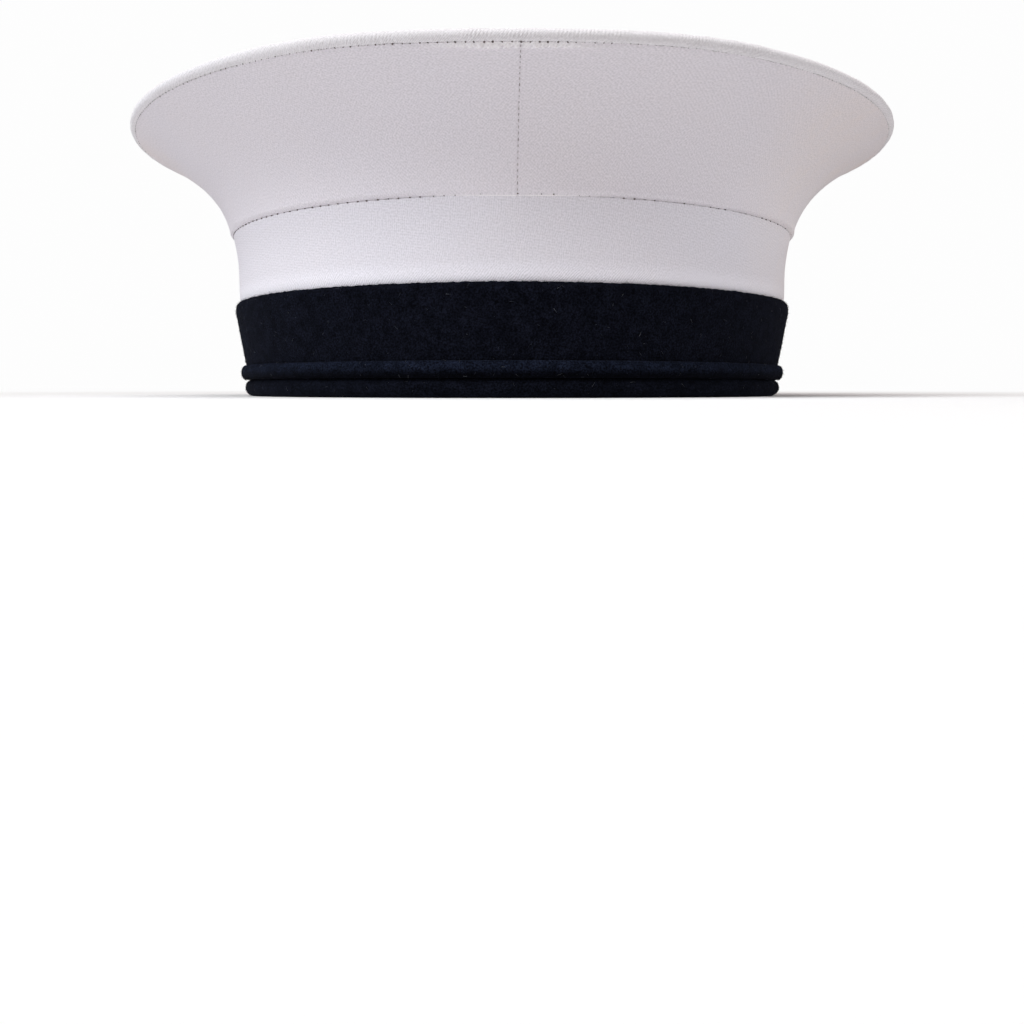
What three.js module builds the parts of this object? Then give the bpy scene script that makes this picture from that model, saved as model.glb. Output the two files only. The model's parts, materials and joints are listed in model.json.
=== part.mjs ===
// A round sailor cap: white drill crown with a flared side and a rolled rim, on a navy wool band.
// Millimetres, +Z up. The wearer's front is +Y, so the back seam faces -Y.
// The origin is under the middle of the cap, on the plane that its hem rests on.
import * as THREE from "three";

// Driving dimensions. A half-width is taken to the side, along X.
// Every ring is an oval, longer front to back than it is wide by the same amount all the way up.
const OVAL_EXTRA = 3.1;
const FLATS_AROUND = 72;
const GAP = 0.35;

// Wall thicknesses of the two cloths
const DRILL = 1.7;
const WOOL = 2.2;

// The navy band: its shoulder is the widest line, just under the rounded top edge
const BAND_TOP = 31.6;
const BAND_SHOULDER = { halfWidth: 99.2, height: 28.6 };
const BAND_FOOT = { halfWidth: 95.6, height: 6.05 };

// The half-round welt on the foot of the band
const PIPING = { low: 5.9, high: 10.4, bulge: 1.5 };

// The rolled lower edge, and the facing that it turns up inside the cap
const HEM = { halfWidth: 96.6, height: 5.7, rollRadius: 2.4, floor: 2.6, restWidth: 4 };
const FACING = { thickness: 1.8, top: 26 };

// The white stand above the band, the flared side and the rolled rim
const STAND_FOLD = { halfWidth: 97.7, height: 33.5 };
const STAND_NECK = { halfWidth: 97.7, height: 41 };
const STAND_TOP = { halfWidth: 99.1, height: 53.9 };
const STAND_LEAN = { neck: 0, top: 12 };
const FLARE_FOOT = { halfWidth: 99.9, height: 54.25 };
const FLARE_END = { halfWidth: 127.45, height: 83.7 };
const FLARE_LEAN = { foot: 9, end: 64 };
const WELT = { halfWidth: 130, height: 85.85, radial: 1.45, upright: 1.45 };
const TOP = { edgeHeight: 86.9, sag: 1.8 };

// The rim hangs a little lower round its back seam, over an angle to each side in degrees
const BACK_DIP = { depth: 1.4, halfAngle: 28 };

// Steps along curved stretches of a section
const CURVE_STEPS = 5;
const ROLL_STEPS = 10;

const whiteDrill = () => new THREE.MeshStandardMaterial({ color: 0xe6e2e8, roughness: 0.85, metalness: 0 });
const navyWool = () => new THREE.MeshStandardMaterial({ color: 0x10131c, roughness: 0.95, metalness: 0 });

// A point of a section: half-width and height
const at = (halfWidth, height) => new THREE.Vector2(halfWidth, height);
const spot = ({ halfWidth, height }) => at(halfWidth, height);

// A smooth curve between two points that starts and ends at the given leans, in degrees from upright
function leaningCurve(from, to, leanFrom, leanTo) {
  const slopeFrom = Math.tan(THREE.MathUtils.degToRad(leanFrom));
  const slopeTo = Math.tan(THREE.MathUtils.degToRad(leanTo));
  const height = (to.x - from.x + slopeFrom * from.y - slopeTo * to.y) / (slopeFrom - slopeTo);
  const corner = at(from.x + slopeFrom * (height - from.y), height);
  return new THREE.QuadraticBezierCurve(from, corner, to).getPoints(CURVE_STEPS);
}

// An arc of an ellipse about a centre, from one angle to another in degrees, anticlockwise
function roll(centre, radial, upright, fromDeg, toDeg, steps) {
  const start = THREE.MathUtils.degToRad(fromDeg);
  const end = THREE.MathUtils.degToRad(toDeg);
  return new THREE.EllipseCurve(centre.x, centre.y, radial, upright, start, end).getPoints(steps);
}

// A line of a wall, moved towards the inside of the cap by a distance
function inwards(line, distance) {
  return line.map((point, i) => {
    const before = line[Math.max(i - 1, 0)];
    const after = line[Math.min(i + 1, line.length - 1)];
    const along = after.clone().sub(before).normalize();
    return at(point.x - along.y * distance, point.y + along.x * distance);
  });
}

// The closed section of a wall whose outer line runs upwards
function wallSection(outer, thickness) {
  return [...outer, ...inwards(outer, thickness).reverse(), outer[0]];
}

// How far the crown hangs down at a place: all of the dip at the back of the rim, none at the seam
function backDip(x, y, z) {
  const fromBack = THREE.MathUtils.radToDeg(Math.abs(Math.atan2(x, -y)));
  const across = Math.min(fromBack / BACK_DIP.halfAngle, 1);
  const up = THREE.MathUtils.clamp((z - FLARE_FOOT.height) / (WELT.height - FLARE_FOOT.height), 0, 1);
  const out = Math.min(Math.hypot(x, y) / FLARE_END.halfWidth, 1);
  return BACK_DIP.depth * up * out * out * (1 + Math.cos(Math.PI * across)) / 2;
}

// Turns a section round the cap's axis, lengthens the ring front to back and lets its back hang
function ovalSolid(section) {
  const solid = new THREE.LatheGeometry(section, FLATS_AROUND);
  solid.rotateX(Math.PI / 2);
  const places = solid.attributes.position;
  for (let i = 0; i < places.count; i += 1) {
    const [x, y, z] = [places.getX(i), places.getY(i), places.getZ(i)];
    const stretch = OVAL_EXTRA / Math.max(Math.hypot(x, y), HEM.halfWidth);
    places.setXYZ(i, x, y * (1 + stretch), z - backDip(x, y, z));
  }
  solid.computeVertexNormals();
  return solid;
}

// Half-width of the stand's outer face at a height behind the band, which tapers downwards
function standBehindBand(height) {
  const rise = BAND_SHOULDER.height - BAND_FOOT.height;
  const taper = (BAND_SHOULDER.halfWidth - BAND_FOOT.halfWidth) / rise;
  const bandFace = BAND_SHOULDER.halfWidth - taper * (BAND_SHOULDER.height - height);
  return bandFace - WOOL - GAP;
}

function crownTop() {
  const edge = WELT.halfWidth - 2 * WELT.radial - GAP;
  const under = TOP.edgeHeight - DRILL;
  const rings = [0, 0.45, 0.8, 1];
  const dish = (share) => TOP.sag * (1 - share * share);
  const face = rings.map((share) => at(edge * share, TOP.edgeHeight - dish(share)));
  const back = rings.map((share) => at(edge * share, under - dish(share)));
  return ovalSolid([...back, ...face.reverse()]);
}

function rimWelt() {
  const centre = at(WELT.halfWidth - WELT.radial, WELT.height);
  return ovalSolid(roll(centre, WELT.radial, WELT.upright, -180, 180, ROLL_STEPS));
}

function crownSide() {
  const flare = leaningCurve(spot(FLARE_FOOT), spot(FLARE_END), FLARE_LEAN.foot, FLARE_LEAN.end);
  return ovalSolid(wallSection(flare, DRILL));
}

function standBand() {
  const footHeight = HEM.floor + GAP;
  const foot = at(standBehindBand(footHeight), footHeight);
  const shoulder = at(standBehindBand(BAND_SHOULDER.height), BAND_SHOULDER.height);
  const rise = leaningCurve(spot(STAND_NECK), spot(STAND_TOP), STAND_LEAN.neck, STAND_LEAN.top);
  return ovalSolid(wallSection([foot, shoulder, spot(STAND_FOLD), ...rise], DRILL));
}

function capBand() {
  const half = WOOL / 2;
  const fold = at(BAND_SHOULDER.halfWidth - half, BAND_SHOULDER.height);
  const topEdge = roll(fold, half, BAND_TOP - BAND_SHOULDER.height, 0, 180, CURVE_STEPS);
  const backFoot = at(BAND_FOOT.halfWidth - WOOL, BAND_FOOT.height);
  return ovalSolid([spot(BAND_FOOT), ...topEdge, backFoot, spot(BAND_FOOT)]);
}

function bandPiping() {
  const middle = (PIPING.low + PIPING.high) / 2;
  const seat = standBehindBand(PIPING.high) + GAP + WOOL + GAP;
  const round = roll(at(seat, middle), PIPING.bulge, middle - PIPING.low, -90, 90, CURVE_STEPS);
  return ovalSolid([...round, round[0]]);
}

function bandHem() {
  const centre = at(HEM.halfWidth - HEM.rollRadius, HEM.height / 2);
  const outerRoll = roll(centre, HEM.rollRadius, HEM.height / 2, -90, 90, CURVE_STEPS);
  const lip = standBehindBand(HEM.height) + GAP;
  const standBack = (height) => standBehindBand(height) - DRILL - GAP;
  const facingFace = (height) => standBack(height) - FACING.thickness;
  const restInner = centre.x - HEM.restWidth;
  return ovalSolid([
    ...outerRoll,
    at(lip, HEM.height),
    at(standBehindBand(HEM.floor) + GAP, HEM.floor),
    at(standBack(HEM.floor), HEM.floor),
    at(standBack(FACING.top), FACING.top),
    at(facingFace(FACING.top), FACING.top),
    at(facingFace(HEM.floor), HEM.floor),
    at(restInner, 0),
    outerRoll[0],
  ]);
}

const pieces = [
  { name: "crown_top", shape: crownTop, cloth: whiteDrill },
  { name: "rim_welt", shape: rimWelt, cloth: whiteDrill },
  { name: "crown_side", shape: crownSide, cloth: whiteDrill },
  { name: "stand_band", shape: standBand, cloth: whiteDrill },
  { name: "cap_band", shape: capBand, cloth: navyWool },
  { name: "band_piping", shape: bandPiping, cloth: navyWool },
  { name: "band_hem", shape: bandHem, cloth: navyWool },
];

const cap = new THREE.Group();
for (const { name, shape, cloth } of pieces) {
  const piece = new THREE.Mesh(shape(), cloth());
  piece.name = name;
  cap.add(piece);
}

export default cap;
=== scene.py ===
"""A round sailor cap: a white drill crown with a flared side and a rolled rim, on a navy wool band.

Metres, +Z up. The wearer's front is +Y, so the back seam faces -Y.
A section point is a half-width, taken along X, and a height. Turns are measured from the back towards +X.
"""

import json
import math
from collections import namedtuple
from functools import partial

import bpy
import numpy as np
from bpy.props import FloatProperty, FloatVectorProperty, IntProperty, PointerProperty
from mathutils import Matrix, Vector

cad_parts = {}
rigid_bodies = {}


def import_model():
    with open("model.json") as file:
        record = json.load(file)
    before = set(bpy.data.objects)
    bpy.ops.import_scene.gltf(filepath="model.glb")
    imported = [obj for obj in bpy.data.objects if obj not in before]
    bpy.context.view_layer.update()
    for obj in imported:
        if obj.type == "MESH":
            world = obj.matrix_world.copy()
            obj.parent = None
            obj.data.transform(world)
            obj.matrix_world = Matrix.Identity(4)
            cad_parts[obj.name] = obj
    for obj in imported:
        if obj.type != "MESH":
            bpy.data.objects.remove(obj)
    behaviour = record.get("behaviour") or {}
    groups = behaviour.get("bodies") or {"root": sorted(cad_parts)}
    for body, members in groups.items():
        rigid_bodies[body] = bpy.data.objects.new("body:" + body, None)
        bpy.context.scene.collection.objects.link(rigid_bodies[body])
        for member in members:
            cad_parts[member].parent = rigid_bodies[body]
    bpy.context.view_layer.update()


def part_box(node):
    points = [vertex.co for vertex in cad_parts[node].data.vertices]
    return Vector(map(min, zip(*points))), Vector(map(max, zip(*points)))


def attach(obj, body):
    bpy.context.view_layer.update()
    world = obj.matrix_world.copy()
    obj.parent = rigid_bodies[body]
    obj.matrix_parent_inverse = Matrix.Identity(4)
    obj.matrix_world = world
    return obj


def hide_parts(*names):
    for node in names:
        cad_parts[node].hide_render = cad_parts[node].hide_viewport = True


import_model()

bl_info = {
    "name": "Sailor Cap",
    "version": (1, 0, 0),
    "blender": (4, 5, 0),
    "location": "View3D > Sidebar > Cap",
    "description": "Makes a stitched sailor cap of white drill and navy wool, with its stage",
    "category": "Object",
}

MM = 0.001
TURN = 2 * math.pi
WEAVE_UV = "weave"
NAP_WEIGHT = "nap"
FIBRE_SHADE = "fibre_shade"
STITCH_DRAW = "draw"
WHITE = (1, 1, 1, 1)
BLACK = (0, 0, 0, 1)
BACKDROP = 0.985
LIGHTS = ("key", "left", "right", "top")

# Ribs of a twill: their pitch, their slant in degrees and how strong they are
Ribs = namedtuple("Ribs", "pitch slant strength")
SIDE_RIBS = Ribs(0.62 * MM, 40, 0.06)
WELT_RIBS = Ribs(0.46 * MM, 40, 0.2)
TOP_RIBS = Ribs(0.62 * MM, 45, 0.12)
STAND_RIBS = Ribs(0.6 * MM, 8, 0.11)
FOLD_RIBS = Ribs(0.62 * MM, 40, 0.32)

# Felted wool: the width of its fibres and the depth of its felt
FELT_FIBRE = 0.5 * MM
FELT_DEPTH = 0.12 * MM

# A row of stitches or of painted needle-hole shade: its line, how many there are, where they begin and how
# they are shaped
StitchRow = namedtuple("StitchRow", "name place count phase draw length thickness material unevenness")

WELT_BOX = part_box("rim_welt")
SIDE_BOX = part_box("crown_side")
BAND_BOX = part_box("cap_band")
PIPING_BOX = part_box("band_piping")
HEM_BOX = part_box("band_hem")
OVAL_EXTRA = WELT_BOX[1].y - WELT_BOX[1].x
HEM_HALF_WIDTH = HEM_BOX[1].x


def length(name, default, description):
    return FloatProperty(name=name, description=description, default=default, unit="LENGTH", precision=5)


def angle(name, degrees, description):
    default = math.radians(degrees)
    return FloatProperty(name=name, description=description, default=default, subtype="ANGLE")


def share(name, default, description):
    return FloatProperty(name=name, description=description, default=default, min=0, subtype="FACTOR")


def colour(name, default, description):
    return FloatVectorProperty(
        name=name, description=description, default=default, size=4, min=0, max=1, subtype="COLOR"
    )


def spot(name, default, description):
    return FloatVectorProperty(
        name=name, description=description, default=default, size=3, subtype="TRANSLATION", unit="LENGTH"
    )


def watts(name, default, description):
    return FloatProperty(name=name, description=description, default=default, min=0, unit="POWER")


class CrownSizes(bpy.types.PropertyGroup):
    """Sizes of the white crown and its stand"""

    drill: length("Drill", 1.7 * MM, "Thickness of the white cloth with its backing")
    gap: length("Gap", 0.35 * MM, "Clear space between two sewn pieces")
    flare_foot: length("Flare foot", 99.9 * MM, "Half-width of the side at the seam above the stand")
    foot_lean: angle("Foot lean", 9, "Lean of the side from upright at its foot")
    end_lean: angle("End lean", 64, "Lean of the side from upright under the rim")
    lip: length("Lip", 1.27 * MM, "How far the side runs on into the crease under the rim")
    lap: length("Lap", 0.2 * MM, "How far the side runs on down to the stand")
    ridge: length("Back ridge", 1.6 * MM, "How far the crown stands out at the back, above the stand")
    ridge_width: length("Ridge width", 17 * MM, "Half the width of the back ridge")
    welt_radial: length("Welt radial", 1.45 * MM, "Half the width of the rolled rim")
    welt_upright: length("Welt upright", 1.45 * MM, "Half the height of the rolled rim")
    top_edge: length("Top edge", 86.9 * MM, "Height of the top's edge")
    top_sag: length("Top sag", 1.8 * MM, "How far the middle of the top lies below its edge")
    dip: length("Back dip", 1.4 * MM, "How far the rim hangs at the back seam")
    dip_turn: angle("Dip width", 28, "Turn to each side of the back in which the rim hangs")
    stand_fold: length("Stand fold", 33.5 * MM, "Height where the stand comes out of the band")
    stand_neck: length("Stand neck", 97.7 * MM, "Half-width of the stand just above the band")
    neck_height: length("Neck height", 41 * MM, "Height up to which the stand is upright")
    stand_top: length("Stand top", 99.1 * MM, "Half-width of the stand at its seam")
    top_height: length("Stand height", 53.9 * MM, "Height of the stand's upper edge")
    stand_lean: angle("Stand lean", 12, "Lean of the stand from upright at its upper edge")


class BandSizes(bpy.types.PropertyGroup):
    """Sizes of the navy band, its piping and its hem"""

    wool: length("Wool", 2.2 * MM, "Thickness of the folded wool")
    shoulder: length("Shoulder", 28.6 * MM, "Height of the band's widest line")
    foot: length("Foot", 95.6 * MM, "Half-width of the band at its foot")
    piping_bulge: length("Piping bulge", 1.5 * MM, "How far the piping stands out")
    hem_height: length("Hem height", 5.7 * MM, "Height of the rolled hem")
    hem_roll: length("Hem roll", 2.4 * MM, "Half the width of the hem's outer roll")
    hem_swell: length("Hem swell", 0.45 * MM, "How much wider the soft hem is than its stiff form")
    hem_floor: length("Hem floor", 2.6 * MM, "Thickness of the hem under the stand")
    rest_width: length("Rest width", 4 * MM, "Width of the hem where the cap rests")
    facing: length("Facing", 1.8 * MM, "Thickness of the wool turned up inside")


class ReliefSizes(bpy.types.PropertyGroup):
    """How far the cloths depart from their smooth forms"""

    side_slack: length("Side slack", 0.28 * MM, "Slow unevenness of the flared side")
    side_ripple: length("Side ripple", 0.10 * MM, "Quick unevenness of the flared side")
    puff: length("Puff", 0.70 * MM, "How far the side puffs out under the rim by the back seam")
    puff_round: length("Puff elsewhere", 0.11 * MM, "How far the side puffs out under the rim all round")
    puff_width: length("Puff width", 16 * MM, "Half the width of the puffed stretch by the back seam")
    gather: length("Gather", 0.30 * MM, "Depth of the gathers under the rim by the back seam")
    gather_pitch: length("Gather pitch", 1.15 * MM, "Width of a gather")
    gather_width: length("Gathered width", 13 * MM, "Half the width of the gathered stretch")
    rim_pull: length("Rim pull", 0.09 * MM, "How far a rim stitch pulls the side in")
    notch: length("Notch", 0.30 * MM, "Depth of the notch where the back seam meets the rim")
    foot_fold: length("Foot fold", 0.16 * MM, "Thickness of the fold above the stand's seam")
    tuck: length("Tuck", 0.62 * MM, "How far the side's foot turns in at the stand's seam")
    seam_groove: length("Seam groove", 0.15 * MM, "Depth of the back seam")
    seam_ridge: length("Seam ridge", 0.05 * MM, "How far the cloth rises beside the back seam")
    seam_step: length("Seam step", 0.10 * MM, "How much lower the cloth lies to the right of the back seam")
    welt_swell: length("Rim swell", 0.06 * MM, "How much thicker the soft rim is than its stiff form")
    welt_rib: length("Rim rib", 0.11 * MM, "Depth of the rim's slanted ribs")
    welt_rib_pitch: length("Rim rib pitch", 0.92 * MM, "Width of one of the rim's slanted ribs")
    welt_pull: length("Rim stitch pull", 0.16 * MM, "How far a stitch pulls the rim in from below")
    welt_lump: length("Rim lump", 0.07 * MM, "Quick unevenness of the rim")
    welt_wave: length("Rim wave", 0.08 * MM, "Slow unevenness of the rim")
    top_pinch: length("Top pinch", 0.12 * MM, "Depth of the puckers where the rim holds the top")
    top_slack: length("Top slack", 0.35 * MM, "Slow unevenness of the top")
    top_drop: length("Top drop", 0.25 * MM, "How far the top's edge turns down to the rim")
    stand_slack: length("Stand slack", 0.22 * MM, "Slow unevenness of the stand")
    stand_ripple: length("Stand ripple", 0.07 * MM, "Quick unevenness of the stand")
    stand_hollow: length("Stand hollow", 0.4 * MM, "Depth of the hollow below the seam, right of the middle")
    stand_pull: length("Stand pull", 0.06 * MM, "How far a seam stitch pulls the stand in")
    band_felt: length("Band felt", 0.035 * MM, "Quick unevenness of the band")
    band_wave: length("Band wave", 0.10 * MM, "Slow unevenness of the band")
    band_ragged: length("Ragged edge", 0.11 * MM, "Unevenness of the band's folded top edge")
    wool_lump: length("Wool lump", 0.07 * MM, "Quick unevenness of the piping and the hem")
    piping_wave: length("Piping wave", 0.10 * MM, "Slow unevenness of the piping")
    piping_drop: length("Piping drop", 0.3 * MM, "How much lower the soft piping reaches than its stiff form")
    hem_wave: length("Hem wave", 0.12 * MM, "Slow unevenness of the hem")


class StitchSizes(bpy.types.PropertyGroup):
    """Sizes of the stitching"""

    rim_pitch: length("Rim pitch", 2.15 * MM, "Stitch length under the rim")
    seam_pitch: length("Seam pitch", 3.3 * MM, "Stitch length above the stand")
    back_pitch: length("Back pitch", 1.7 * MM, "Stitch length in the back seam")
    thread: length("Thread", 0.34 * MM, "Thickness of the sewing thread")
    hole: length("Needle hole", 0.5 * MM, "Width of a needle hole")
    back_top: length("Back seam top", 2.05 * MM, "How far the back seam's top lies beside the middle")
    back_foot: length("Back seam foot", 1.8 * MM, "How far the back seam's foot lies beside the middle")
    seed: IntProperty(name="Seed", description="Seed of the stitches' unevenness", default=11)


class NapSizes(bpy.types.PropertyGroup):
    """Sizes of the wool's nap"""

    fibre: length("Fibre", 1.25 * MM, "Length of a fibre")
    width: length("Fibre width", 0.035 * MM, "Half the thickness of a fibre at its root")
    density: FloatProperty(name="Density", description="Fibres for each square metre", default=900000)
    lie: angle("Lie", 66, "How far the fibres lie down from upright, in the mean")
    seed: IntProperty(name="Seed", description="Seed of the fibres' places", default=5)


class FinishColours(bpy.types.PropertyGroup):
    """Colours of the cloths"""

    drill: colour("Drill", (0.80, 0.762, 0.817, 1), "Clean white drill")
    welt: colour("Rim drill", (0.85, 0.82, 0.85, 1), "Clean white drill of the rim")
    # Painted highlight: brighter drill under the rim by the back seam.
    lip: colour("Lip drill", (1.0, 0.97, 1.0, 1), "Clean drill that puffs out under the rim by the back seam")
    # Painted light: the stand's drill is a little bluer than the side's, a tint of cool light.
    stand: colour("Stand drill", (0.778, 0.754, 0.816, 1), "Clean white drill of the stand")
    # Painted highlight: lighter, bluer drill just above the band.
    fold: colour("Fold drill", (0.88, 0.86, 0.93, 1), "Clean drill where the stand comes out of the band")
    soil: colour("Soil", (0.86, 0.772, 0.755, 1), "Drill where handling has tinted it")
    thread: colour("Thread", (0.72, 0.69, 0.71, 1), "Sewing thread")
    hole: colour("Needle hole", (0.17, 0.14, 0.14, 1), "Shade in a needle hole")
    seam: colour("Back seam", (0.48, 0.43, 0.44, 1), "Shade between the stitches of the back seam")
    wool: colour("Wool", (0.0033, 0.0039, 0.0072, 1), "Navy wool")
    # Painted shade: darker wool on the lower half of the piping.
    shaded_piping_wool: colour("Deep wool", (0.0014, 0.0016, 0.0030, 1), "Navy wool in the groove under the piping")
    # Painted highlight: lighter wool on the top of the piping.
    lit_piping_wool: colour("Edge wool", (0.0056, 0.0076, 0.0148, 1), "Navy wool worn on the top of the piping")
    fibre: colour("Fibre", (0.012, 0.014, 0.024, 1), "Most fibres of the nap")
    lint: colour("Lint", (0.15, 0.155, 0.17, 1), "The palest fibres of the nap")
    floor: colour("Floor", (0.86, 0.86, 0.865, 1), "Floor of the stage")


class StageSizes(bpy.types.PropertyGroup):
    """Camera and light of the stage"""

    distance: length("Distance", 0.3716, "From the cap's axis to the camera")
    height: length("Height", 0.003, "Height of the camera over the floor")
    pitch: angle("Pitch", -7.28, "Tilt of the camera, upwards where it is positive")
    lens: FloatProperty(name="Lens", description="Focal length in millimetres", default=34.34)
    aim: length("Aim", 0.04, "Height on the cap's axis that the lights point at")
    light_size: length("Light size", 1.2, "Width of each light")
    key: watts("Key", 21, "Power of the main light, on the upper left")
    key_place: spot("Key place", (-0.9, -1.0, 1.5), "Place of the main light")
    key_tint: colour("Key tint", (0.96, 1.0, 0.985, 1), "Colour of the main light")
    left: watts("Left", 8.7, "Power of the light on the left")
    left_place: spot("Left place", (-1.3, -0.8, 0.7), "Place of the light on the left")
    left_tint: colour("Left tint", (0.795, 0.905, 1.0, 1), "Colour of the light on the left")
    right: watts("Right", 8.3, "Power of the light on the right")
    right_place: spot("Right place", (1.5, -0.35, 0.7), "Place of the light on the right")
    right_tint: colour("Right tint", (0.855, 0.952, 1.0, 1), "Colour of the light on the right")
    top: watts("Top", 11.4, "Power of the light overhead")
    top_place: spot("Top place", (0.0, -0.3, 1.9), "Place of the light overhead")
    top_tint: colour("Top tint", (0.98, 0.995, 1.0, 1), "Colour of the light overhead")
    sky: share("Sky", 0.287, "Strength of the light from all round")
    sky_tint: colour("Sky tint", (1.0, 0.80, 0.73, 1), "Colour of the light from all round")
    floor_half: length("Floor", 12.0, "Half the width of the floor")
    fade_start: length("Fade start", 0.16, "Distance from the axis where the floor starts to fade to white")
    fade_end: length("Fade end", 0.55, "Distance from the axis where the floor is plain white")


def smooth_step(low, high, value):
    """A smooth rise from 0 at low to 1 at high."""
    part = np.clip((value - low) / (high - low), 0, 1)
    return part * part * (3 - 2 * part)


def hump(value, centre, half_width):
    """A bell of height 1 about a centre."""
    return np.exp(-(((value - centre) / half_width) ** 2))


def uneven(turns, along, cells_round, cell_along, seed):
    """Smooth random unevenness from -1 to 1: rows lie along a section, columns go round and close."""
    rows = int(np.max(along) / cell_along) + 3
    lattice = np.random.default_rng(seed).uniform(-1, 1, (rows, cells_round))
    place_round = turns / TURN % 1 * cells_round
    place_along = along / cell_along
    column, row = np.floor(place_round).astype(int), np.floor(place_along).astype(int)
    across, up = smooth_step(0, 1, place_round - column), smooth_step(0, 1, place_along - row)
    column, following = column % cells_round, (column + 1) % cells_round
    low = lattice[np.ix_(row, column)] * (1 - across) + lattice[np.ix_(row, following)] * across
    high = lattice[np.ix_(row + 1, column)] * (1 - across) + lattice[np.ix_(row + 1, following)] * across
    return low * (1 - up[:, None]) + high * up[:, None]


def leaning_curve(start, end, lean_start, lean_end, steps):
    """A curve of a section between two points, with its leans from upright at both ends."""
    slope_start, slope_end = math.tan(lean_start), math.tan(lean_end)
    rise = (end[0] - start[0] + slope_start * start[1] - slope_end * end[1]) / (slope_start - slope_end)
    corner = np.array([start[0] + slope_start * (rise - start[1]), rise])
    part = np.linspace(0, 1, steps)[:, None]
    return (1 - part) ** 2 * start + 2 * part * (1 - part) * corner + part**2 * end


def arc(centre, radial, upright, from_degrees, to_degrees, steps):
    turn = np.radians(np.linspace(from_degrees, to_degrees, steps))
    return np.stack([centre[0] + radial * np.cos(turn), centre[1] + upright * np.sin(turn)], axis=1)


def lengths_along(line):
    return np.concatenate([[0], np.cumsum(np.linalg.norm(np.diff(line, axis=0), axis=1))])


def points_along(line, places):
    reach = lengths_along(line)
    return np.stack([np.interp(places, reach, line[:, axis]) for axis in (0, 1)], axis=1)


def outward(line):
    """Unit normals of a section line, to its right as it runs, which is outwards on a rising wall."""
    run = np.gradient(line, axis=0)
    run /= np.linalg.norm(run, axis=1, keepdims=True)
    return np.stack([run[:, 1], -run[:, 0]], axis=1)


def edge_roll(end, normal, thickness, reach, steps):
    """Points that take a wall round its edge, from its outer end to its inner one."""
    along = np.array([-normal[1], normal[0]])
    middle = end - normal * thickness / 2
    turn = np.linspace(0, math.pi, steps + 2)[1:-1, None]
    return middle + normal * thickness / 2 * np.cos(turn) + along * reach * np.sin(turn)


def graded(low, high, edge, fine, coarse):
    """Places from low to high, close together within the edge distance of both ends."""
    first = np.arange(low, low + edge, fine)
    last = np.arange(high, high - edge, -fine)[::-1]
    steps = max(int((last[0] - first[-1]) / coarse), 2)
    return np.concatenate([first, np.linspace(first[-1], last[0], steps + 1)[1:-1], last])


def turns_round(*tiers):
    """Turns of a ring's columns from the back seam on.

    A tier is a turn and the number of columns up to it, on each side.
    """
    half, start = [], 0.0
    for end, count in tiers:
        half.append(np.linspace(start, end, count, endpoint=False))
        start = end
    half = np.concatenate(half)
    return np.concatenate([half, [math.pi], TURN - half[:0:-1]])


def repeats_round(half_width, pitch):
    """How often a pitch goes round the cap at a half-width."""
    return round(TURN * half_width / pitch)


def from_seam(turns):
    """Signed turn from the back seam."""
    return (turns + math.pi) % TURN - math.pi


def back_dip(across, along, height, crown):
    """How far the crown hangs down at a place, as the rim does round its back seam."""
    rim = WELT_BOX[1].z - crown.welt_upright
    share_round = np.minimum(np.abs(np.arctan2(across, -along)) / crown.dip_turn, 1)
    share_up = np.clip((height - SIDE_BOX[0].z) / (rim - SIDE_BOX[0].z), 0, 1)
    share_out = np.minimum(np.hypot(across, along) / SIDE_BOX[1].x, 1) ** 2
    return crown.dip * share_up * share_out * (1 + np.cos(math.pi * share_round)) / 2


def on_oval(half_width, turns, height):
    """Places on the cap for half-widths, turns from the back seam and heights."""
    scene = bpy.context.scene
    crown, stitch = scene.cap_crown, scene.cap_stitch
    rise = (height - SIDE_BOX[0].z) / (SIDE_BOX[1].z - SIDE_BOX[0].z)
    beside = stitch.back_foot + (stitch.back_top - stitch.back_foot) * np.clip(rise, 0, 1)
    turn = turns + beside / SIDE_BOX[1].x
    across, along = half_width * np.sin(turn), -half_width * np.cos(turn)
    stretch = 1 + OVAL_EXTRA / np.maximum(half_width, HEM_HALF_WIDTH)
    return np.stack([across, along * stretch, height - back_dip(across, along, height, crown)], axis=-1)


def link_mesh(name, vertices, faces, material):
    """An object in the scene with a smooth mesh."""
    mesh = bpy.data.meshes.new(name)
    mesh.from_pydata(vertices, [], faces)
    mesh.materials.append(material)
    mesh.shade_smooth()
    piece = bpy.data.objects.new(name, mesh)
    bpy.context.scene.collection.objects.link(piece)
    return piece


def set_weave(mesh, corners):
    layer = mesh.uv_layers.new(name=WEAVE_UV)
    layer.data.foreach_set("uv", np.asarray(corners, np.float32).ravel())


def turned_ring(name, section, turns, relief, material):
    """A closed section carried round the cap. The relief moves each place along the section's normal."""
    rows, columns = len(section), len(turns)
    closed = np.vstack([section[-1:], section, section[:1]])
    normals = outward(closed)[1:-1]
    half_width = section[:, :1] + relief * normals[:, :1]
    height = section[:, 1:] + relief * normals[:, 1:]
    places = on_oval(half_width, turns[None, :], height).reshape(-1, 3)
    row, column = (grid.ravel() for grid in np.mgrid[0:rows, 0:columns])
    row_up, column_on = (row + 1) % rows, (column + 1) % columns
    corners = [(row, column), (row, column_on), (row_up, column_on), (row_up, column)]
    faces = np.stack([r * columns + c for r, c in corners], axis=1)
    piece = link_mesh(name, places, faces, material)
    round_it = np.append(turns, TURN) * section[:, 0].mean()
    along = lengths_along(np.vstack([section, section[:1]]))
    places_uv = [(row, column), (row, column + 1), (row + 1, column + 1), (row + 1, column)]
    corners_uv = [np.stack([round_it[c], along[r]], axis=1) for r, c in places_uv]
    set_weave(piece.data, np.stack(corners_uv, axis=1))
    return piece


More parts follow.
